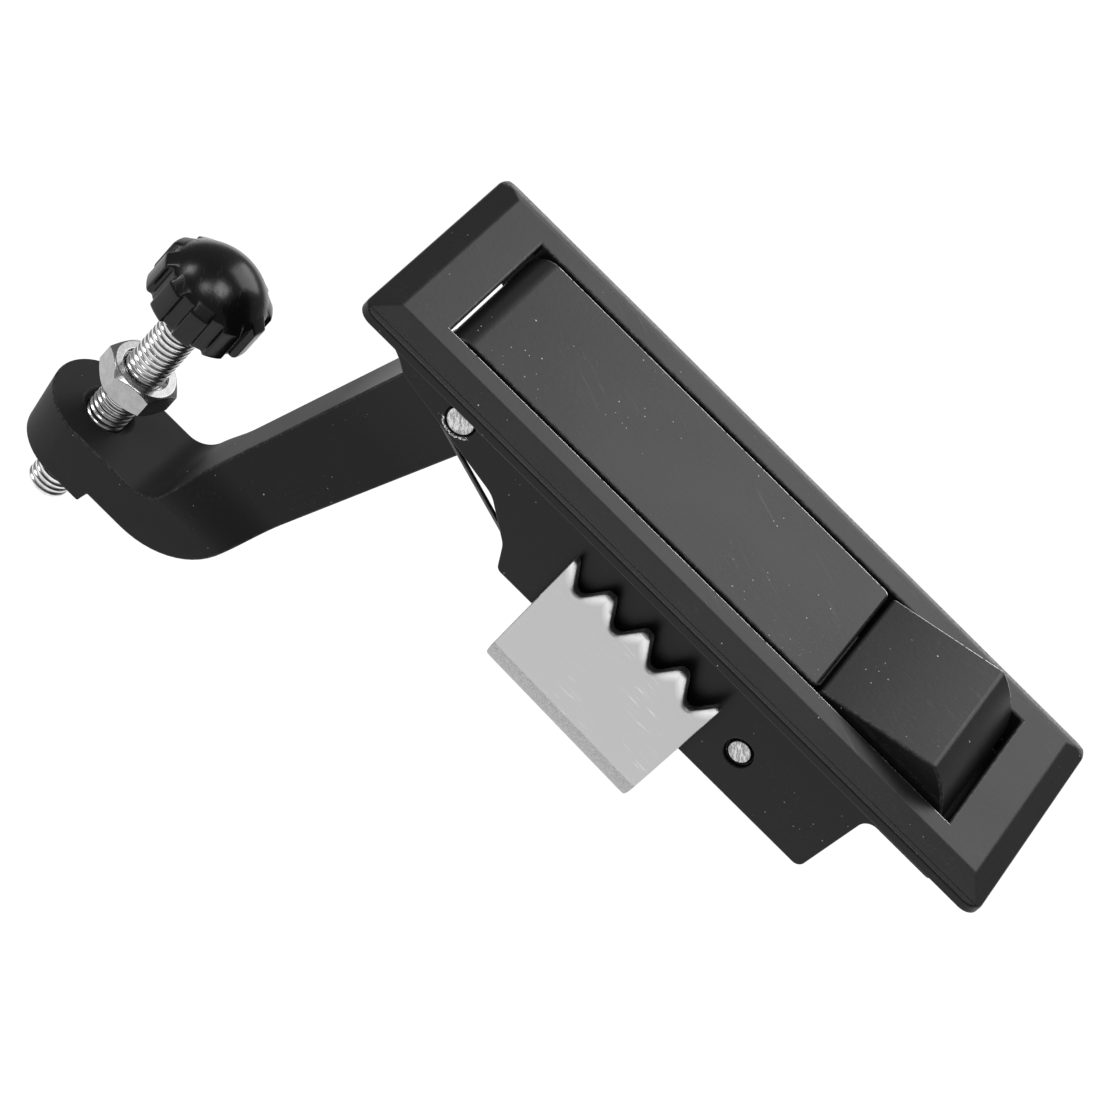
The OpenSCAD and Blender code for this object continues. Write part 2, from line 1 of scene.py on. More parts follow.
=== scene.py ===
# A flush lever latch on its own: the photograph's view, plain studio light, worn finishes.
# Lengths are in metres, in the frame of the solids: the flange's back lies on z = 0.
from math import pi, radians

import bmesh
import bpy
from mathutils import Matrix, Vector
from mathutils.kdtree import KDTree


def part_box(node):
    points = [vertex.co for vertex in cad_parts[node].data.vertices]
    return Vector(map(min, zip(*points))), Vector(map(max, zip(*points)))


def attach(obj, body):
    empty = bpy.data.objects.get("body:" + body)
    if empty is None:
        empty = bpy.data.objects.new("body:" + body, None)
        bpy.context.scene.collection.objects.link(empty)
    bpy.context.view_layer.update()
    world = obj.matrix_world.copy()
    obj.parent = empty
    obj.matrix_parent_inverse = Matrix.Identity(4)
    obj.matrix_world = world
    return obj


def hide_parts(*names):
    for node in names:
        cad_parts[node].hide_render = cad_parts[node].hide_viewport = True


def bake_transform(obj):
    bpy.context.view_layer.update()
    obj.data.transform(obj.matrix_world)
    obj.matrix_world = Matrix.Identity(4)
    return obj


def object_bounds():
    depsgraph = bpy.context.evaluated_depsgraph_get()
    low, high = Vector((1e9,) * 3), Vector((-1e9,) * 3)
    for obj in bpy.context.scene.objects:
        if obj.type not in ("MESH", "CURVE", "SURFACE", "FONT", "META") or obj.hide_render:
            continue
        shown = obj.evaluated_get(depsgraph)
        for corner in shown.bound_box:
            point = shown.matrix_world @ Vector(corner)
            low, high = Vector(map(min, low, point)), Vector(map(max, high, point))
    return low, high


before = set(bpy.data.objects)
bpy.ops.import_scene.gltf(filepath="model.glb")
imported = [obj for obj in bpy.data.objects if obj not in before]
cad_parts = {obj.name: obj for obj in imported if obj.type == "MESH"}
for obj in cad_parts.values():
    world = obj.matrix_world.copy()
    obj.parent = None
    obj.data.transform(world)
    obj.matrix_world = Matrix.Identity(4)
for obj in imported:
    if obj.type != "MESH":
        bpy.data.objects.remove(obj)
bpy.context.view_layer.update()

MM = 0.001

# Camera, as the photograph was taken: far away, looking down on the flange, turned on its side
CAMERA_PLACE = Vector((-32.79, -659.27, 460.12)) * MM
CAMERA_AZIMUTH = 0.0209216
CAMERA_ELEVATION = radians(36.5)
CAMERA_ROLL = 0.7927882
FOCAL_PIXELS = 4758.93
PHOTO_PIXELS = 1110
SENSOR_WIDTH = 36
NEAR = 0.05
FAR = 20

# Light: the surround's level, and lamps with their place, width, height and power
SURROUND = 0.22
LAMPS = (
    ("sky", (0.1, 0.8, 0.6), 0.56, 0.8, 3.6),
    ("over", (0.0, -0.1, 0.8), 0.3, 0.3, 2.0),
    ("front", (-0.3, -0.35, 0.8), 0.24, 0.24, 1.0),
    ("left", (-0.85, -0.05, 0.55), 0.24, 0.24, 1.3),
)

# Floor: its size, how far it lies below the part, its own grey, and how white it shows to some rays
FLOOR_SIZE = 6
FLOOR_DROP = 80 * MM
FLOOR_GREY = 0.8
FLOOR_ROUGH = 0.9
FLOOR_GLOW = 0.8
FLOOR_WHITE = 1.16
WHITE_FOR = ("Camera", "Glossy", "Transmission")

# Greys of the finishes, from dark to light where they vary
COAT_GREYS = (0.008, 0.014)
COAT_RUBBED = 0.06
COAT_HAZE = 0.09
# Lighter grey of thin coat on edges, partly a painted highlight along them
COAT_WORN_HIGHLIGHT = 0.12
COAT_RIM = 0.45
DUST_GREY = 0.75
# Uncoated metal on rubbed far edges and chips, partly a painted highlight
BARE_METAL_HIGHLIGHT = 0.8
SHEET_GREYS = (0.58, 0.64)
SHEET_MARKS = 0.8
SHEET_BEND = 0.16
# Near-white painted highlight along the teeth's punched edges
SHEET_ROLLED_HIGHLIGHT = 0.97
THREAD_GREYS = (0.7, 0.95)
NUT_GREYS = (0.38, 0.46)
HEAD_GREYS = (0.55, 0.75)
PIN_GREYS = (0.3, 0.9)
WIRE_GREYS = (0.05, 0.16)
KNOB_GREYS = (0.003, 0.006)
BRASS_DARK = (0.62, 0.45, 0.2, 1)
BRASS_LIGHT = (0.75, 0.58, 0.3, 1)

# Roughness of the finishes where nothing is added to it
COAT_ROUGH = 0.34
SHEET_ROUGH = 0.4
PLATED_ROUGH = 0.14
PIN_ROUGH = 0.3
WIRE_ROUGH = 0.24
KNOB_ROUGH = 0.16
BRASS_ROUGH = 0.3

# How strongly the two black finishes shine
COAT_SHINE = 0.3
KNOB_SHINE = 0.36

# Grains of dust: how far apart, how large, and how many of the places hold one
DUST_SPARSE = (2.6 * MM, 0.17 * MM, 0.05)
DUST_DENSE = (1.0 * MM, 0.12 * MM, 0.2)

# Ring of chips below the lever's pin
CHIPS_FROM = 2.9 * MM
CHIPS_TO = 3.5 * MM
CHIPS_BELOW = -1.7 * MM

# Lighter, mottled part of the flange's far rim: where it begins across, where it is full, and its least
# height
RIM_FROM = 25.4 * MM
RIM_FULL = 27.6 * MM
RIM_ABOVE = 0.3 * MM

# From solid to mesh: points this close become one, and faces this flat too
WELD = 0.002 * MM
FLAT = radians(0.6)

# Roundings of edges, and how sharply an edge turns where it gets one
HOUSING_ROUND = 0.45 * MM
HOUSING_SHARE = 0.78
LEVER_ROUND = 0.42 * MM
BUTTON_ROUND = 0.5 * MM
PLATED_ROUND = 0.12 * MM
HOUSING_TURN = radians(16)
OPENING_TURN = radians(60)
CAST_TURN = radians(30)
PLATED_TURN = radians(25)

# Heights below which edges stay sharp: none, under the arm's foot, and low on the button
LOWEST = -1.0
FOOT_BASE = -85 * MM
BUTTON_SKIRT = 2.2 * MM

# Melted edges: size of the squares, and how often they are smoothed
BRACKET_GRAIN = 0.28 * MM
BRACKET_PASSES = 22
KNOB_GRAIN = 0.18 * MM
KNOB_PASSES = 16

# The bracket's teeth: their edges lie above a height, and are rolled, with a painted highlight, more at
# the tips than between
TEETH_ABOVE = -14.2 * MM
TEETH_VALLEY = -13.6 * MM
TEETH_TIP = -10.2 * MM
PUNCHED_TURN = radians(60)
ROLL_WIDTH = 2.4 * MM
ROLL_DEPTH = 0.06 * MM
ROLL_STEP = 0.15 * MM
ROLL_LEAST = 0.2

# Height above which edges are rubbed bare, their uncoated metal partly a painted highlight
RUBBED_AND_HIGHLIT_ABOVE = 3 * MM

# How sharply a rounded strip turns where wear and its painted highlight begin, and where they are full
WEAR_HIGHLIGHT_FROM = radians(8)
WEAR_HIGHLIGHT_FULL = radians(15)

# Direction of the strokes ground into the pins' ends
PIN_STROKES = radians(35)

# Heights between which the lever's coat turns matt, down its arm
MATT_FROM = -14 * MM
MATT_FULL = -34 * MM

# Height at which the bracket's bend begins
BEND_TOP = -32.6 * MM
BEND_BLEND = 0.3 * MM

# Threads: radius over the crests, pitch and depth
ROD_THREAD = (3.97 * MM, 1.25 * MM, 0.72 * MM)
CLAMP_THREAD = (2.97 * MM, 1.0 * MM, 0.55 * MM)
THREAD_STEPS = 48
THREAD_WELD = 0.004 * MM
THREAD_SPARE = 0.2 * MM

# One turn of a thread, along the pitch: share of the pitch, and share of the depth
THREAD_PROFILE = (
    (0.0, 1.0),
    (0.1, 1.0),
    (0.36, 0.06),
    (0.44, 0.0),
    (0.68, 0.0),
    (0.76, 0.06),
    (1.0, 1.0),
)

# The clamp screw's head, and how far its shank reaches into it
CLAMP_HEAD = 4 * MM
HEAD_OVERLAP = 0.1 * MM


def add_camera():
    """The photograph's camera."""
    bpy.ops.object.camera_add(location=CAMERA_PLACE)
    camera = bpy.context.active_object
    camera.name = "photo_camera"
    camera.data.sensor_width = SENSOR_WIDTH
    camera.data.lens = FOCAL_PIXELS * SENSOR_WIDTH / PHOTO_PIXELS
    camera.data.clip_start = NEAR
    camera.data.clip_end = FAR
    turn = Matrix.Rotation(-CAMERA_AZIMUTH, 4, "Z")
    tilt = Matrix.Rotation(pi / 2 - CAMERA_ELEVATION, 4, "X")
    roll = Matrix.Rotation(CAMERA_ROLL, 4, "Z")
    camera.matrix_world = Matrix.Translation(CAMERA_PLACE) @ turn @ tilt @ roll
    bpy.context.scene.camera = camera


# Node maths


class Value:
    """A shader socket that takes part in sums as a number does."""

    def __init__(self, finish, socket):
        self.finish = finish
        self.socket = socket

    def sum_with(self, operation, first, second):
        return self.finish.make("ShaderNodeMath", {"operation": operation}, {0: first, 1: second})

    def __add__(self, other):
        return self.sum_with("ADD", self, other)

    __radd__ = __add__

    def __sub__(self, other):
        return self.sum_with("SUBTRACT", self, other)

    def __rsub__(self, other):
        return self.sum_with("SUBTRACT", other, self)

    def __mul__(self, other):
        return self.sum_with("MULTIPLY", self, other)

    __rmul__ = __mul__

    def __lt__(self, other):
        return self.sum_with("LESS_THAN", self, other)

    def __gt__(self, other):
        return self.sum_with("GREATER_THAN", self, other)


class Finish:
    """A material that is being made: its nodes, and the shader they feed."""

    def __init__(self, name, **constants):
        self.material = bpy.data.materials.new(name)
        self.material.use_nodes = True
        self.nodes = self.material.node_tree.nodes
        self.links = self.material.node_tree.links
        self.shader = self.nodes["Principled BSDF"]
        for socket, value in constants.items():
            self.shader.inputs[socket.replace("_", " ").title()].default_value = value
        self.place = self.make("ShaderNodeTexCoord", {}, {}, "Object")

    def make(self, kind, settings, inputs, out=0):
        """Any node: its settings first, then the values or links of its sockets."""
        node = self.nodes.new(kind)
        for key, value in settings.items():
            setattr(node, key, value)
        for key, value in inputs.items():
            self.feed(node.inputs[key], value)
        return Value(self, node.outputs[out])

    def feed(self, socket, value):
        """Links a socket to a Value, or sets it to a number or colour."""
        if isinstance(value, Value):
            self.links.new(value.socket, socket)
        else:
            socket.default_value = value

    def coordinate(self, axis):
        """Object coordinate along one axis."""
        return self.make("ShaderNodeSeparateXYZ", {}, {0: self.place}, axis)

    def marked(self, attribute):
        """What the mesh says under the name of an attribute."""
        return self.make("ShaderNodeAttribute", {"attribute_name": attribute}, {}, "Fac")

    def stretched(self, x, y, z, turn=0.0):
        """Object coordinates with each axis stretched, turned about Z first."""
        turned = self.make("ShaderNodeMapping", {}, {"Vector": self.place, "Rotation": (0, 0, turn)})
        return self.make("ShaderNodeMapping", {}, {"Vector": turned, "Scale": (x, y, z)})

    def noise(self, size, detail=2.0, rough=0.5, place=None):
        """Cloudy noise whose lumps are about size across."""
        inputs = {"Vector": place or self.place, "Scale": 1 / size, "Detail": detail, "Roughness": rough}
        return self.make("ShaderNodeTexNoise", {}, inputs)

    def cells(self, size, out="Distance"):
        """Distance to, or colour of, scattered points about size apart."""
        return self.make("ShaderNodeTexVoronoi", {}, {"Vector": self.place, "Scale": 1 / size}, out)

    def ramp(self, value, low, high):
        """0 below low, 1 above high, straight between."""
        return self.make("ShaderNodeMapRange", {}, {"Value": value, "From Min": low, "From Max": high})

    def mix(self, share, first, second):
        """Colours mixed by share."""
        node = self.nodes.new("ShaderNodeMix")
        node.data_type = "RGBA"
        self.feed(node.inputs[0], share)
        self.feed(node.inputs[6], first)
        self.feed(node.inputs[7], second)
        return Value(self, node.outputs[2])

    def between(self, share, levels):
        """A grey between two levels."""
        dark, light = levels
        return self.mix(share, grey(dark), grey(light))

    def specks(self, spacing, size, share):
        """Small round specks: in a share of the cells, dots of the given size."""
        dots = self.cells(spacing) < size / spacing
        pick = self.make("ShaderNodeSeparateColor", {}, {0: self.cells(spacing, "Color")})
        return dots * (pick < share)

    def surface(self, **sockets):
        """Feeds the shader's sockets."""
        for name, value in sockets.items():
            self.feed(self.shader.inputs[name.replace("_", " ").title().replace("Ior", "IOR")], value)

    def bump(self, height, depth, under=None):
        """Raises the surface by height times depth."""
        inputs = {"Height": height, "Distance": depth, "Strength": 1.0}
        if under:
            inputs["Normal"] = under
        return self.make("ShaderNodeBump", {}, inputs)


def grey(level):
    """An opaque grey."""
    return (level, level, level, 1)


def powder_coat(name, matt=0.0, chipped=None):
    """Semi-matt black powder coat: orange peel, white dust in patches, rub marks, and thin edges,
    lighter in part as a painted highlight, with uncoated metal along the far edges that is partly a
    painted highlight.

    matt is how much rougher the coat gets down the lever's arm, and chipped is a pin that was
    hammered in, with chips in the coat below it.
    """
    finish = Finish(name)
    finish.surface(specular_ior_level=COAT_SHINE)
    cloud = finish.noise(18 * MM, 3)
    peel = finish.noise(0.9 * MM, 2)
    grain = finish.noise(0.22 * MM, 1)
    patch = finish.ramp(finish.noise(11 * MM, 2), 0.54, 0.66)
    dust = finish.specks(*DUST_SPARSE) + finish.specks(*DUST_DENSE) * patch
    fog = finish.ramp(finish.noise(0.45 * MM, 3, 0.7), 0.58, 0.7)
    haze = fog * finish.ramp(finish.noise(16 * MM, 3), 0.5, 0.68)
    streak = finish.noise(1.0, 2, place=finish.stretched(90, 1500, 1500, 0.5))
    rubbed = finish.ramp(streak, 0.66, 0.74) * finish.ramp(finish.noise(14 * MM, 2), 0.5, 0.62)
    ragged = finish.ramp(finish.noise(0.7 * MM, 3, 0.7), 0.46, 0.62)
    # Thin coat on the rounded strips: partly edge wear, partly a painted highlight
    worn_and_highlit = finish.marked("wear_and_highlight") * (0.15 + ragged * 0.85)
    level = finish.coordinate("Z")
    arm = finish.ramp(level, MATT_FROM, MATT_FULL) * matt
    base = finish.between(cloud, COAT_GREYS)
    base = finish.mix(rubbed * 0.3, base, grey(COAT_RUBBED))
    base = finish.mix(haze * 0.5, base, grey(COAT_HAZE))
    base = finish.mix(worn_and_highlit * 0.4, base, grey(COAT_WORN_HIGHLIGHT))
    # Uncoated metal on the high far edges: partly rubbing, partly a painted highlight
    bare_and_highlight = finish.marked("bare_and_highlight") * finish.ramp(finish.noise(0.9 * MM, 2), 0.34, 0.44)
    if chipped:
        low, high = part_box(chipped)
        centre = (low + high) / 2
        across = finish.coordinate("X") - centre.x
        height = level - centre.z
        square = across * across + height * height
        ring = (square > CHIPS_FROM ** 2) * (square < CHIPS_TO ** 2) * (height < CHIPS_BELOW)
        bare_and_highlight = bare_and_highlight + ring * (finish.noise(0.5 * MM, 3, 0.8) > 0.52)
        rim = finish.ramp(finish.coordinate("Y"), RIM_FROM, RIM_FULL) * (level > RIM_ABOVE)
        mottle = finish.ramp(finish.noise(0.5 * MM, 4, 0.75), 0.4, 0.6)
        base = finish.mix(rim * (0.25 + mottle * 0.75), base, grey(COAT_RIM))
    base = finish.mix(dust * 0.85, base, grey(DUST_GREY))
    finish.surface(
        base_color=finish.mix(bare_and_highlight, base, grey(BARE_METAL_HIGHLIGHT)),
        metallic=bare_and_highlight,
        roughness=COAT_ROUGH + cloud * 0.1 + arm - rubbed * 0.06 - worn_and_highlit * 0.06,
        normal=finish.bump(peel + grain * 0.3, 0.02 * MM),
    )
    return finish.material


def zinc_sheet(name):
    """Zinc-plated sheet, dull, with stippled bends and scuffs, and a near-white painted highlight along
    the teeth's punched edges.
    """
    finish = Finish(name, metallic=1.0)
    cloud = finish.noise(7 * MM, 3)
    fine = finish.noise(0.35 * MM, 2)
    scuff = finish.noise(1.0, 3, place=finish.stretched(220, 900, 2600))
    marks = finish.ramp(scuff, 0.6, 0.7) * finish.ramp(finish.noise(9 * MM, 2), 0.46, 0.58)
    bend = finish.ramp(finish.coordinate("Z"), BEND_TOP, BEND_TOP - BEND_BLEND)
    stipple = finish.ramp(finish.noise(0.28 * MM, 3, 0.7), 0.42, 0.62)
    base = finish.between(cloud, SHEET_GREYS)
    base = finish.mix(marks * 0.5, base, grey(SHEET_MARKS))
    base = finish.mix(bend * (0.1 + stipple * 0.34), base, grey(SHEET_BEND))
    # Painted highlight along the punched edges, which the same mask also bumps round
    rolled = finish.marked("rolled")
    ragged = rolled * (0.75 + finish.noise(0.7 * MM, 3, 0.7) * 0.5)
    rough = finish.bump(fine * 0.5 + marks + stipple * bend * 1.5, 0.02 * MM)
    finish.surface(
        base_color=finish.mix(finish.ramp(ragged, 0.1, 0.6), base, grey(SHEET_ROLLED_HIGHLIGHT)),
        roughness=SHEET_ROUGH + cloud * 0.12 - marks * 0.14,
        normal=finish.bump(1 - rolled * rolled, ROLL_DEPTH, rough),
    )
    return finish.material


def bright_zinc(name, levels):
    """Bright zinc plating, with cloudy patches between two levels of grey."""
    finish = Finish(name, metallic=1.0)
    cloud = finish.noise(1.6 * MM, 3, 0.7)
    fine = finish.noise(0.35 * MM, 2)
    finish.surface(
        base_color=finish.between(finish.ramp(cloud, 0.35, 0.65), levels),
        roughness=PLATED_ROUGH + fine * 0.14,
        normal=finish.bump(fine, 0.005 * MM),
    )
    return finish.material


def pin_end(name):
    """Steel pin, ground off at its ends."""
    finish = Finish(name, metallic=1.0)
    turn = (0, PIN_STROKES, 0)
    tilted = finish.make("ShaderNodeMapping", {}, {"Vector": finish.place, "Rotation": turn})
    along = finish.make("ShaderNodeMapping", {}, {"Vector": tilted, "Scale": (2600, 900, 700)})
    strokes = finish.ramp(finish.noise(1.0, 3, 0.7, place=along), 0.42, 0.58)
    finish.surface(
        base_color=finish.between(strokes, PIN_GREYS),
        roughness=PIN_ROUGH + strokes * 0.2,
        normal=finish.bump(strokes, 0.05 * MM),
    )
    return finish.material


def spring_wire(name):
    """Drawn spring wire."""
    finish = Finish(name, metallic=1.0)
    cloud = finish.noise(1.2 * MM, 3)
    finish.surface(base_color=finish.between(cloud, WIRE_GREYS), roughness=WIRE_ROUGH + cloud * 0.12)
    return finish.material


def gloss_knob(name):
    """Glossy black moulding with a slight waviness and fine scratches."""
    finish = Finish(name)
    finish.surface(specular_ior_level=KNOB_SHINE)
    wave = finish.noise(3.5 * MM, 2)
    haze = finish.noise(9 * MM, 3)
    hair = finish.noise(1.0, 2, place=finish.stretched(300, 2600, 900, 0.9))
    finish.surface(
        base_color=finish.between(haze, KNOB_GREYS),
        roughness=KNOB_ROUGH + haze * 0.12 + finish.ramp(hair, 0.6, 0.7) * 0.16,
        normal=finish.bump(wave, 0.03 * MM),
    )
    return finish.material


def brass_bush(name):
    """Turned brass."""
    finish = Finish(name, metallic=1.0)
    turned = finish.noise(1.0, 2, place=finish.stretched(200, 200, 4000))
    finish.surface(
        base_color=finish.mix(turned, BRASS_DARK, BRASS_LIGHT),
        roughness=BRASS_ROUGH + turned * 0.1,
    )
    return finish.material


# Modelling helpers


def only(piece):
    """Selects piece alone and makes it the active object."""
    bpy.ops.object.select_all(action="DESELECT")
    piece.select_set(True)
    bpy.context.view_layer.objects.active = piece


def modify(piece, kind, **settings):
    """Adds a modifier and applies it."""
    only(piece)
    modifier = piece.modifiers.new(kind.lower(), kind)
    for key, value in settings.items():
        setattr(modifier, key, value)
    bpy.ops.object.modifier_apply(modifier=modifier.name)


def smooth(piece, angle):
    """Smooth shading with sharp edges kept."""
    only(piece)
    bpy.ops.object.shade_smooth_by_angle(angle=radians(angle))


def from_solid(node, name):
    """A new piece with the outline of a CAD node, its triangles joined and its flat faces merged."""
    piece = bpy.data.objects.new(name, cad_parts[node].data.copy())
    bpy.context.scene.collection.objects.link(piece)
    piece.data.materials.clear()
    only(piece)
    bpy.ops.object.mode_set(mode="EDIT")
    bpy.ops.mesh.select_all(action="SELECT")
    bpy.ops.mesh.customdata_custom_splitnormals_clear()
    bpy.ops.mesh.remove_doubles(threshold=WELD)
    bpy.ops.mesh.dissolve_limited(angle_limit=FLAT)
    bpy.ops.object.mode_set(mode="OBJECT")
    return piece


def weigh_edges(piece, share):
    """Gives each edge its share of the rounding: share takes the edge's middle and how far it turns."""
    shape = bmesh.new()
    shape.from_mesh(piece.data)
    weight = shape.edges.layers.float.new("bevel_weight_edge")
    for edge in shape.edges:
        if len(edge.link_faces) == 2:
            first, second = edge.verts
            edge[weight] = share((first.co + second.co) / 2, edge.calc_face_angle(0))
    shape.to_mesh(piece.data)
    shape.free()


def mark_wear_and_highlight(piece, worn_and_highlit_above):
    """Marks the rounded strips: thin coat, lighter partly as a painted highlight, by how sharply they
    turn, and uncoated metal, partly a painted highlight, on high strips facing up and toward +Y, where
    the lever and hands rub.
    """
    shape = bmesh.new()
    shape.from_mesh(piece.data)
    wear_and_highlight = shape.faces.layers.float.new("wear_and_highlight")
    bare_and_highlight = shape.faces.layers.float.new("bare_and_highlight")
    for face in shape.faces:
        if face.material_index:
            turn = max((edge.calc_face_angle(0) for edge in face.edges), default=0)
            height = face.calc_center_median().z
            if height > worn_and_highlit_above:
                face[wear_and_highlight] = min(1, max(0, (turn - WEAR_HIGHLIGHT_FROM) / (WEAR_HIGHLIGHT_FULL - WEAR_HIGHLIGHT_FROM)))
            # High strips facing up and toward +Y: their uncoated metal is partly a painted highlight
            # along the far edges
            rubbed = height > RUBBED_AND_HIGHLIT_ABOVE and face.normal.y > 0.1 and face.normal.z > 0.2
            face[bare_and_highlight] = face[wear_and_highlight] if rubbed else 0
        face.material_index = 0
    shape.to_mesh(piece.data)
    shape.free()


def rounded(piece, width, segments, share, worn_and_highlit_above=LOWEST):
    """Rounds edges by width times their share, keeps flat faces flat, and marks the strips as thin coat,
    with a painted highlight.
    """
    smooth(piece, 60)
    weigh_edges(piece, share)
    for spare in ("face", "edge"):
        piece.data.materials.append(bpy.data.materials.new(piece.name + "_" + spare))
    modify(piece, "BEVEL", width=width, segments=segments, limit_method="WEIGHT", harden_normals=True,
           use_clamp_overlap=False, material=1)
    mark_wear_and_highlight(piece, worn_and_highlit_above)


def evenly(limit, above=LOWEST):
    """The same rounding for all edges that turn more than limit and lie above a height."""
    return lambda middle, turn: float(turn > limit and middle.z > above)


def housing_share(middle, turn):
    """A little more rounding at the opening than elsewhere."""
    if turn < HOUSING_TURN:
        return 0.0
    return 1.0 if middle.z > RUBBED_AND_HIGHLIT_ABOVE and turn > OPENING_TURN else HOUSING_SHARE


def mark_rolled(piece, node):
    """Marks how near each point lies to the punched edges of the teeth, in an attribute that rolls those
    edges with a bump and paints a highlight along them.
    """
    outline = from_solid(node, node + "_outline")
    shape = bmesh.new()
    shape.from_mesh(outline.data)
    samples = []
    for edge in shape.edges:
        first, second = (vertex.co for vertex in edge.verts)
        punched = len(edge.link_faces) == 2 and edge.calc_face_angle(0) > PUNCHED_TURN
        if punched and (first.z + second.z) / 2 > TEETH_ABOVE:
            steps = int((second - first).length / ROLL_STEP) + 1
            samples += [first.lerp(second, step / steps) for step in range(steps + 1)]
    shape.free()
    bpy.data.objects.remove(outline)
    tree = KDTree(len(samples))
    for index, place in enumerate(samples):
        tree.insert(place, index)
    tree.balance()
    rolled = piece.data.attributes.new("rolled", "FLOAT", "POINT")
    for vertex in piece.data.vertices:
        away = tree.find(vertex.co)[2]
        height = min(1, max(0, (vertex.co.z - TEETH_VALLEY) / (TEETH_TIP - TEETH_VALLEY)))
        share = ROLL_LEAST + (1 - ROLL_LEAST) * height
        rolled.data[vertex.index].value = max(0, 1 - away / ROLL_WIDTH) * share


def softened(piece, grain, passes):
    """Melts all edges a little: an even skin of squares of the given grain, smoothed."""
    modify(piece, "REMESH", mode="VOXEL", voxel_size=grain)
    modify(piece, "SMOOTH", factor=0.5, iterations=passes)
    smooth(piece, 50)


def dress(piece, material, body, slot, *nodes):
    """Gives a piece its finish and its body, and hides the CAD nodes it stands for."""
    piece.data.materials.clear()
    piece.data.materials.append(material)
    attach(piece, body)
    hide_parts(*nodes)


def threaded_bar(name, axis, low, high, radius, pitch, depth, limits):
    """A bar with a real helical thread, trimmed to the outline of the CAD node named limits."""
    turns = int((high - low) / pitch) + 3  # a turn and a half more at each end, to be cut off
    bpy.ops.object.select_all(action="DESELECT")
    bpy.ops.mesh.primitive_plane_add(size=1)
    bar = bpy.context.active_object
    bar.name = name
    bpy.ops.object.mode_set(mode="EDIT")
    bpy.ops.mesh.delete(type="VERT")
    shape = bmesh.from_edit_mesh(bar.data)
    start = low - 1.5 * pitch
    corners = []
    for along, inward in THREAD_PROFILE:
        corners.append(shape.verts.new((radius - inward * depth, 0, start + along * pitch)))
    for first, second in zip(corners, corners[1:]):
        shape.edges.new((first, second))
    bmesh.update_edit_mesh(bar.data)
    bpy.ops.object.mode_set(mode="OBJECT")
    modify(bar, "SCREW", angle=2 * pi, screw_offset=pitch, iterations=turns, steps=THREAD_STEPS,
           render_steps=THREAD_STEPS)
    only(bar)
    bpy.ops.object.mode_set(mode="EDIT")
    bpy.ops.mesh.select_all(action="SELECT")
    bpy.ops.mesh.remove_doubles(threshold=THREAD_WELD)
    for height, keep_above in ((low - THREAD_SPARE, True), (high + THREAD_SPARE, False)):
        bpy.ops.mesh.select_all(action="SELECT")
        bpy.ops.mesh.bisect(plane_co=(0, 0, height), plane_no=(0, 0, 1), clear_inner=keep_above,
                            clear_outer=not keep_above, threshold=WELD / 2)
        bpy.ops.mesh.edge_face_add()
    bpy.ops.mesh.select_all(action="SELECT")
    bpy.ops.mesh.normals_make_consistent(inside=False)
    bpy.ops.transform.translate(value=(axis[0], axis[1], 0))
    bpy.ops.object.mode_set(mode="OBJECT")
    outline = from_solid(limits, name + "_outline")
    modify(bar, "BOOLEAN", operation="INTERSECT", solver="EXACT", object=outline)
    bpy.data.objects.remove(outline)
    smooth(bar, 50)
    return bar


# Pieces


def add_castings():
    """The three powder-coated die castings."""
    housing = from_solid("housing", "housing_casting")
    rounded(housing, HOUSING_ROUND, 4, housing_share, RUBBED_AND_HIGHLIT_ABOVE)
    coat = powder_coat("housing_coat", chipped="lever_pin")
    dress(housing, coat, "housing", "coated_casting", "housing")
    lever = from_solid("lever", "lever_casting")
    rounded(lever, LEVER_ROUND, 4, evenly(CAST_TURN, FOOT_BASE))
    dress(lever, powder_coat("lever_coat", matt=0.2), "lever", "coated_casting_lever", "lever")
    button = from_solid("release_button", "release_button_casting")
    rounded(button, BUTTON_ROUND, 5, evenly(CAST_TURN, BUTTON_SKIRT))
    coat = powder_coat("button_coat")
    dress(button, coat, "release_button", "coated_casting_button", "release_button")


def add_bracket():
    """The toothed bracket, with its punched edges softened, bumped round and painted with a highlight.
    """
    bracket = from_solid("clamp_bracket", "clamp_bracket_sheet")
    softened(bracket, BRACKET_GRAIN, BRACKET_PASSES)
    mark_rolled(bracket, "clamp_bracket")
    dress(bracket, zinc_sheet("zinc_sheet"), "clamp_bracket", "plated_sheet", "clamp_bracket")


def add_bumper():
    """The threaded rod, its nut and the knob on its end."""
    low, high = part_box("bumper_screw")
    middle = (low + high) / 2
    rod = threaded_bar("bumper_rod", middle, low.z, high.z, *ROD_THREAD, "bumper_screw")
    dress(rod, bright_zinc("zinc_thread", THREAD_GREYS), "bumper_screw", "plated_screw", "bumper_screw")
    nut = from_solid("jam_nut", "jam_nut_plated")
    rounded(nut, PLATED_ROUND, 2, evenly(PLATED_TURN))
    dress(nut, bright_zinc("zinc_nut", NUT_GREYS), "jam_nut", "plated_nut", "jam_nut")
    knob = from_solid("bumper_knob", "bumper_knob_moulding")
    softened(knob, KNOB_GRAIN, KNOB_PASSES)
    dress(knob, gloss_knob("knob_gloss"), "bumper_knob", "knob_plastic", "bumper_knob")


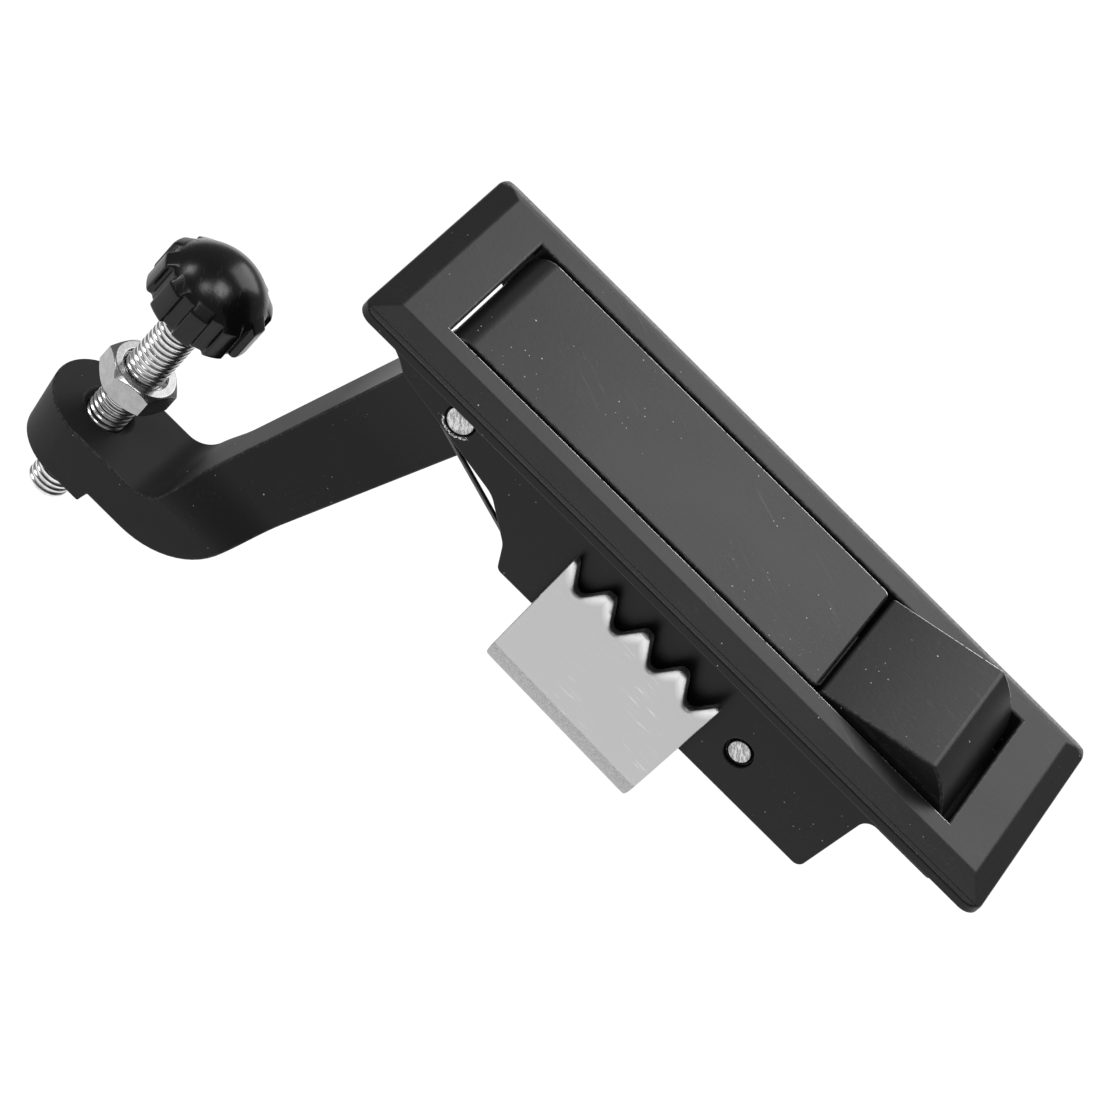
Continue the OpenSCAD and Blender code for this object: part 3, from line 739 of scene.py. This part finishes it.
def add_clamp_screw():
    """The hidden M6 screw: its hexagon head, and a threaded shank."""
    low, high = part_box("bracket_screw")
    middle = (low + high) / 2
    neck = low.z + CLAMP_HEAD
    shank = threaded_bar("clamp_shank", middle, neck, high.z, *CLAMP_THREAD, "bracket_screw")
    screw = from_solid("bracket_screw", "clamp_screw")
    only(screw)
    bpy.ops.object.mode_set(mode="EDIT")
    bpy.ops.mesh.select_all(action="SELECT")
    cut = (0, 0, neck + HEAD_OVERLAP)
    bpy.ops.mesh.bisect(plane_co=cut, plane_no=(0, 0, 1), clear_outer=True, use_fill=True)
    bpy.ops.object.mode_set(mode="OBJECT")
    rounded(screw, PLATED_ROUND, 2, evenly(PLATED_TURN))
    only(screw)
    shank.select_set(True)
    bpy.ops.object.join()
    dress(screw, bright_zinc("zinc_head", HEAD_GREYS), "bracket_screw", "plated_screw", "bracket_screw")


def spring_from_solid(node, name):
    """A wire spring with its coil, shown in place of its CAD node, which it hides."""
    wire = from_solid(node, name)
    smooth(wire, 60)
    wire.data.materials.clear()
    wire.data.materials.append(spring_wire(name + "_wire"))
    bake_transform(wire)
    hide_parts(node)


def finish_plain_nodes():
    """The CAD nodes that show as they are get their finish."""
    finishes = {
        "lever_pin": pin_end("pin_lever"),
        "button_pin": pin_end("pin_button"),
        "bracket_washer": bright_zinc("zinc_washer", HEAD_GREYS),
        "knob_insert": brass_bush("brass_bush"),
    }
    for node, material in finishes.items():
        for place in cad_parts[node].material_slots:
            place.material = material


# Studio


def add_studio():
    """A dim surround that shows white, soft lamps, and a white floor far below.

    From below the floor is clear, so that views from there show the part.
    """
    world = bpy.data.worlds.new("studio_world")
    bpy.context.scene.world = world
    world.use_nodes = True
    background = world.node_tree.nodes["Background"]
    background.inputs["Color"].default_value = grey(1.0)
    ray = world.node_tree.nodes.new("ShaderNodeLightPath")
    level = world.node_tree.nodes.new("ShaderNodeMapRange")
    level.inputs["To Min"].default_value = SURROUND
    level.inputs["To Max"].default_value = 1.0
    world.node_tree.links.new(ray.outputs["Is Camera Ray"], level.inputs["Value"])
    world.node_tree.links.new(level.outputs[0], background.inputs["Strength"])
    for name, place, width, height, power in LAMPS:
        bpy.ops.object.light_add(type="AREA", location=place)
        lamp = bpy.context.active_object
        lamp.name = name
        lamp.data.shape = "RECTANGLE"
        lamp.data.size = width
        lamp.data.size_y = height
        lamp.data.energy = power
        lamp.rotation_euler = Vector(place).to_track_quat("Z", "Y").to_euler()
    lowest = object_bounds()[0][2]
    bpy.ops.object.select_all(action="DESELECT")
    bpy.ops.mesh.primitive_plane_add(size=FLOOR_SIZE, location=(0, 0, lowest - FLOOR_DROP))
    floor = bpy.context.active_object
    floor.name = "floor"
    paint = Finish("floor_white", base_color=grey(FLOOR_GREY), roughness=FLOOR_ROUGH)
    glow = paint.make("ShaderNodeEmission", {}, {"Color": grey(1.0), "Strength": FLOOR_WHITE})
    seen = [paint.make("ShaderNodeLightPath", {}, {}, f"Is {kind} Ray") for kind in WHITE_FOR]
    lit = Value(paint, paint.shader.outputs[0])
    share = (seen[0] + seen[1] + seen[2]) * FLOOR_GLOW
    mixed = paint.make("ShaderNodeMixShader", {}, {0: share, 1: lit, 2: glow})
    below = paint.make("ShaderNodeNewGeometry", {}, {}, "Backfacing")
    clear = paint.make("ShaderNodeBsdfTransparent", {}, {})
    one_sided = paint.make("ShaderNodeMixShader", {}, {0: below, 1: mixed, 2: clear})
    paint.feed(paint.nodes["Material Output"].inputs["Surface"], one_sided)
    floor.data.materials.append(paint.material)


add_camera()
add_castings()
add_bracket()
add_bumper()
add_clamp_screw()
spring_from_solid("lever_spring", "lever_spring_coil")
spring_from_solid("button_spring", "button_spring_coil")
finish_plain_nodes()
add_studio()
bpy.context.scene.view_settings.view_transform = "Standard"
